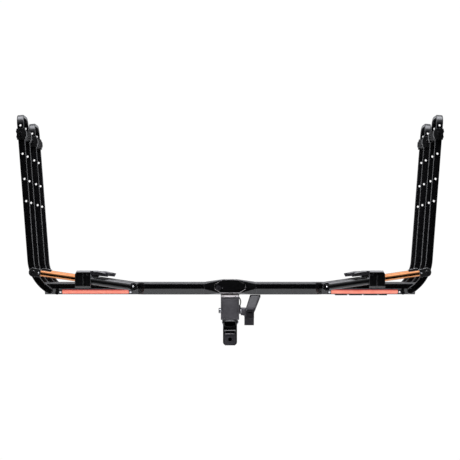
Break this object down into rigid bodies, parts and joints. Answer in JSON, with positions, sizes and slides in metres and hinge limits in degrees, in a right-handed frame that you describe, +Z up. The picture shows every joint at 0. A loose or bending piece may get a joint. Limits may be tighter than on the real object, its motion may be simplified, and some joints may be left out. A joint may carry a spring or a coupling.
{
  "type": "hitch mounted bike rack",
  "caption": "Platform bicycle rack on a square hitch tongue, with folding hairpin wheel arms on gas struts, sliding tyre cradles, a tilting frame and rear light bars.",
  "frame": {"origin": "centre of the hitch pin hole, on the axis of the tongue", "axes": "+X to the right seen from behind the car and along the hitch pin, +Y toward the car along the tongue, +Z up, with the rack level and deployed"},
  "size_m": [1.5648, 0.9735, 0.8759],
  "materials": {
    "black_coat": "satin",
    "black_plastic": "matte",
    "black_rubber": "matte",
    "cast_black": "satin",
    "coated_aluminium": "satin",
    "dark_grey": "satin",
    "gold_anodised": "gloss",
    "grey_coat": "satin",
    "red_lens": "gloss",
    "zinc": "satin"
  },
  "bodies": {
    "hitch_mount": {"hitch_tongue": "black_coat", "tongue_end_plate": "dark_grey", "pivot_bracket": "black_coat", "bracket_bolts": "zinc", "pivot_axle": "black_coat"},
    "cam_bolt": {"cam_draw_bolt": "black_coat"},
    "draw_rod": {"draw_rod": "zinc"},
    "cam_wedge": {"cam_wedge": "grey_coat"},
    "carrier": {"spine": "coated_aluminium", "spine_end_cap": "dark_grey", "pivot_bushes": "zinc", "tray_hubs": "cast_black", "tray_centers": "coated_aluminium", "tray_wings": "coated_aluminium", "wing_end_caps": "dark_grey", "strut_brackets": "black_coat", "arm_pivot_pins": "black_coat", "light_housings": "black_plastic", "light_lenses": "red_lens", "frame_screws": "zinc", "wiring_conduit": "black_rubber"},
    "lock": {"lock_core": "dark_grey"},
    "tilt_lever": {"tilt_lever": "grey_coat"},
    "latch": {"latch_pin": "zinc"},
    "arm_rear_left": {"arm_rear_left": "coated_aluminium"},
    "cradle_rear_left": {"cradle_rear_left": "black_plastic", "cradle_pad_rear_left": "black_rubber"},
    "cradle_pin_rear_left": {"cradle_pin_rear_left": "black_coat"},
    "strut_cylinder_rear_left": {"strut_cylinder_rear_left": "cast_black", "strut_head_rear_left": "cast_black"},
    "release_lever_rear_left": {"release_lever_rear_left": "dark_grey"},
    "strut_rod_rear_left": {"strut_rod_rear_left": "gold_anodised", "rod_end_rear_left": "cast_black"},
    "arm_rear_right": {"arm_rear_right": "coated_aluminium"},
    "cradle_rear_right": {"cradle_rear_right": "black_plastic", "cradle_pad_rear_right": "black_rubber"},
    "cradle_pin_rear_right": {"cradle_pin_rear_right": "black_coat"},
    "strut_cylinder_rear_right": {"strut_cylinder_rear_right": "cast_black", "strut_head_rear_right": "cast_black"},
    "release_lever_rear_right": {"release_lever_rear_right": "dark_grey"},
    "strut_rod_rear_right": {"strut_rod_rear_right": "gold_anodised", "rod_end_rear_right": "cast_black"},
    "arm_front_left": {"arm_front_left": "coated_aluminium"},
    "cradle_front_left": {"cradle_front_left": "black_plastic", "cradle_pad_front_left": "black_rubber"},
    "cradle_pin_front_left": {"cradle_pin_front_left": "black_coat"},
    "strut_cylinder_front_left": {"strut_cylinder_front_left": "cast_black", "strut_head_front_left": "cast_black"},
    "release_lever_front_left": {"release_lever_front_left": "dark_grey"},
    "strut_rod_front_left": {"strut_rod_front_left": "gold_anodised", "rod_end_front_left": "cast_black"},
    "arm_front_right": {"arm_front_right": "coated_aluminium"},
    "cradle_front_right": {"cradle_front_right": "black_plastic", "cradle_pad_front_right": "black_rubber"},
    "cradle_pin_front_right": {"cradle_pin_front_right": "black_coat"},
    "strut_cylinder_front_right": {"strut_cylinder_front_right": "cast_black", "strut_head_front_right": "cast_black"},
    "release_lever_front_right": {"release_lever_front_right": "dark_grey"},
    "strut_rod_front_right": {"strut_rod_front_right": "gold_anodised", "rod_end_front_right": "cast_black"}
  },
  "joints": [
    {"name": "tilt", "type": "hinge", "parent": "hitch_mount", "child": "carrier", "pos_m": [0, -0.205, 0.115], "axis": [-1, 0, 0], "range_deg": [-35, 90], "stiffness_Nm_per_rad": 59.8, "springref_deg": 85.94},
    {"name": "tilt_lever_pull", "type": "hinge", "parent": "carrier", "child": "tilt_lever", "pos_m": [0, -0.205, 0.115], "axis": [1, 0, 0], "range_deg": [0, 10]},
    {"name": "latch_slide", "type": "slide", "parent": "carrier", "child": "latch", "axis": [0, -1, 0], "range_m": [0, 0.012]},
    {"name": "draw_bolt_turn", "type": "hinge", "parent": "hitch_mount", "child": "cam_bolt", "pos_m": [0, -0.222, 0], "axis": [0, 1, 0], "range_deg": [0, 540]},
    {"name": "draw_rod_slide", "type": "slide", "parent": "hitch_mount", "child": "draw_rod", "axis": [0, -1, 0], "range_m": [0, 0.003]},
    {"name": "wedge_slide", "type": "slide", "parent": "hitch_mount", "child": "cam_wedge", "axis": [0, -0.7071, 0.7071], "range_m": [0, 0.00424]},
    {"name": "lock_turn", "type": "hinge", "parent": "carrier", "child": "lock", "pos_m": [-0.042, -0.902, 0.2136], "axis": [0, 1, 0], "range_deg": [0, 90]},
    {"name": "arm_fold_rear_left", "type": "hinge", "parent": "carrier", "child": "arm_rear_left", "pos_m": [-0.6605, -0.79, 0.2035], "axis": [0, 1, 0], "range_deg": [0, 90]},
    {"name": "cradle_slide_rear_left", "type": "slide", "parent": "arm_rear_left", "child": "cradle_rear_left", "axis": [0.0758, 0, -0.9971], "range_m": [0, 0.24531]},
    {"name": "cradle_pin_pull_rear_left", "type": "slide", "parent": "cradle_rear_left", "child": "cradle_pin_rear_left", "axis": [0, -1, 0], "range_m": [-0.005, 0.005]},
    {"name": "strut_swing_rear_left", "type": "hinge", "parent": "carrier", "child": "strut_cylinder_rear_left", "pos_m": [-0.352, -0.883, 0.2184], "axis": [0, 1, 0], "range_deg": [0, 1.34]},
    {"name": "strut_stroke_rear_left", "type": "slide", "parent": "strut_cylinder_rear_left", "child": "strut_rod_rear_left", "axis": [0.9897, 0, -0.143], "range_m": [0, 0.12339]},
    {"name": "release_rear_left", "type": "hinge", "parent": "strut_cylinder_rear_left", "child": "release_lever_rear_left", "pos_m": [-0.519, -0.883, 0.264], "axis": [0, -1, 0], "range_deg": [0, 14]},
    {"name": "arm_fold_rear_right", "type": "hinge", "parent": "carrier", "child": "arm_rear_right", "pos_m": [0.6605, -0.79, 0.2035], "axis": [0, -1, 0], "range_deg": [0, 90]},
    {"name": "cradle_slide_rear_right", "type": "slide", "parent": "arm_rear_right", "child": "cradle_rear_right", "axis": [-0.0758, 0, -0.9971], "range_m": [0, 0.24531]},
    {"name": "cradle_pin_pull_rear_right", "type": "slide", "parent": "cradle_rear_right", "child": "cradle_pin_rear_right", "axis": [0, -1, 0], "range_m": [-0.005, 0.005]},
    {"name": "strut_swing_rear_right", "type": "hinge", "parent": "carrier", "child": "strut_cylinder_rear_right", "pos_m": [0.352, -0.883, 0.2184], "axis": [0, -1, 0], "range_deg": [0, 1.34]},
    {"name": "strut_stroke_rear_right", "type": "slide", "parent": "strut_cylinder_rear_right", "child": "strut_rod_rear_right", "axis": [-0.9897, 0, -0.143], "range_m": [0, 0.12339]},
    {"name": "release_rear_right", "type": "hinge", "parent": "strut_cylinder_rear_right", "child": "release_lever_rear_right", "pos_m": [0.519, -0.883, 0.264], "axis": [0, 1, 0], "range_deg": [0, 14]},
    {"name": "arm_fold_front_left", "type": "hinge", "parent": "carrier", "child": "arm_front_left", "pos_m": [-0.6605, -0.452, 0.2035], "axis": [0, 1, 0], "range_deg": [0, 90]},
    {"name": "cradle_slide_front_left", "type": "slide", "parent": "arm_front_left", "child": "cradle_front_left", "axis": [0.0758, 0, -0.9971], "range_m": [0, 0.24531]},
    {"name": "cradle_pin_pull_front_left", "type": "slide", "parent": "cradle_front_left", "child": "cradle_pin_front_left", "axis": [0, -1, 0], "range_m": [-0.005, 0.005]},
    {"name": "strut_swing_front_left", "type": "hinge", "parent": "carrier", "child": "strut_cylinder_front_left", "pos_m": [-0.352, -0.545, 0.2184], "axis": [0, 1, 0], "range_deg": [0, 1.34]},
    {"name": "strut_stroke_front_left", "type": "slide", "parent": "strut_cylinder_front_left", "child": "strut_rod_front_left", "axis": [0.9897, 0, -0.143], "range_m": [0, 0.12339]},
    {"name": "release_front_left", "type": "hinge", "parent": "strut_cylinder_front_left", "child": "release_lever_front_left", "pos_m": [-0.519, -0.545, 0.264], "axis": [0, -1, 0], "range_deg": [0, 14]},
    {"name": "arm_fold_front_right", "type": "hinge", "parent": "carrier", "child": "arm_front_right", "pos_m": [0.6605, -0.452, 0.2035], "axis": [0, -1, 0], "range_deg": [0, 90]},
    {"name": "cradle_slide_front_right", "type": "slide", "parent": "arm_front_right", "child": "cradle_front_right", "axis": [-0.0758, 0, -0.9971], "range_m": [0, 0.24531]},
    {"name": "cradle_pin_pull_front_right", "type": "slide", "parent": "cradle_front_right", "child": "cradle_pin_front_right", "axis": [0, -1, 0], "range_m": [-0.005, 0.005]},
    {"name": "strut_swing_front_right", "type": "hinge", "parent": "carrier", "child": "strut_cylinder_front_right", "pos_m": [0.352, -0.545, 0.2184], "axis": [0, -1, 0], "range_deg": [0, 1.34]},
    {"name": "strut_stroke_front_right", "type": "slide", "parent": "strut_cylinder_front_right", "child": "strut_rod_front_right", "axis": [-0.9897, 0, -0.143], "range_m": [0, 0.12339]},
    {"name": "release_front_right", "type": "hinge", "parent": "strut_cylinder_front_right", "child": "release_lever_front_right", "pos_m": [0.519, -0.545, 0.264], "axis": [0, 1, 0], "range_deg": [0, 14]}
  ],
  "couplings": [
    {"joint": "latch_slide", "follows": "tilt_lever_pull", "m_per_rad": 0.068748},
    {"joint": "draw_rod_slide", "follows": "wedge_slide", "ratio": 0.70704},
    {"joint": "draw_bolt_turn", "follows": "wedge_slide", "rad_per_m": 2221.2},
    {"joint": "strut_swing_rear_left", "follows": "arm_fold_rear_left", "ratio": 0.014888},
    {"joint": "strut_stroke_rear_left", "follows": "arm_fold_rear_left", "m_per_rad": 0.078549},
    {"joint": "strut_swing_rear_right", "follows": "arm_fold_rear_right", "ratio": 0.014888},
    {"joint": "strut_stroke_rear_right", "follows": "arm_fold_rear_right", "m_per_rad": 0.078549},
    {"joint": "strut_swing_front_left", "follows": "arm_fold_front_left", "ratio": 0.014888},
    {"joint": "strut_stroke_front_left", "follows": "arm_fold_front_left", "m_per_rad": 0.078549},
    {"joint": "strut_swing_front_right", "follows": "arm_fold_front_right", "ratio": 0.014888},
    {"joint": "strut_stroke_front_right", "follows": "arm_fold_front_right", "m_per_rad": 0.078549}
  ]
}
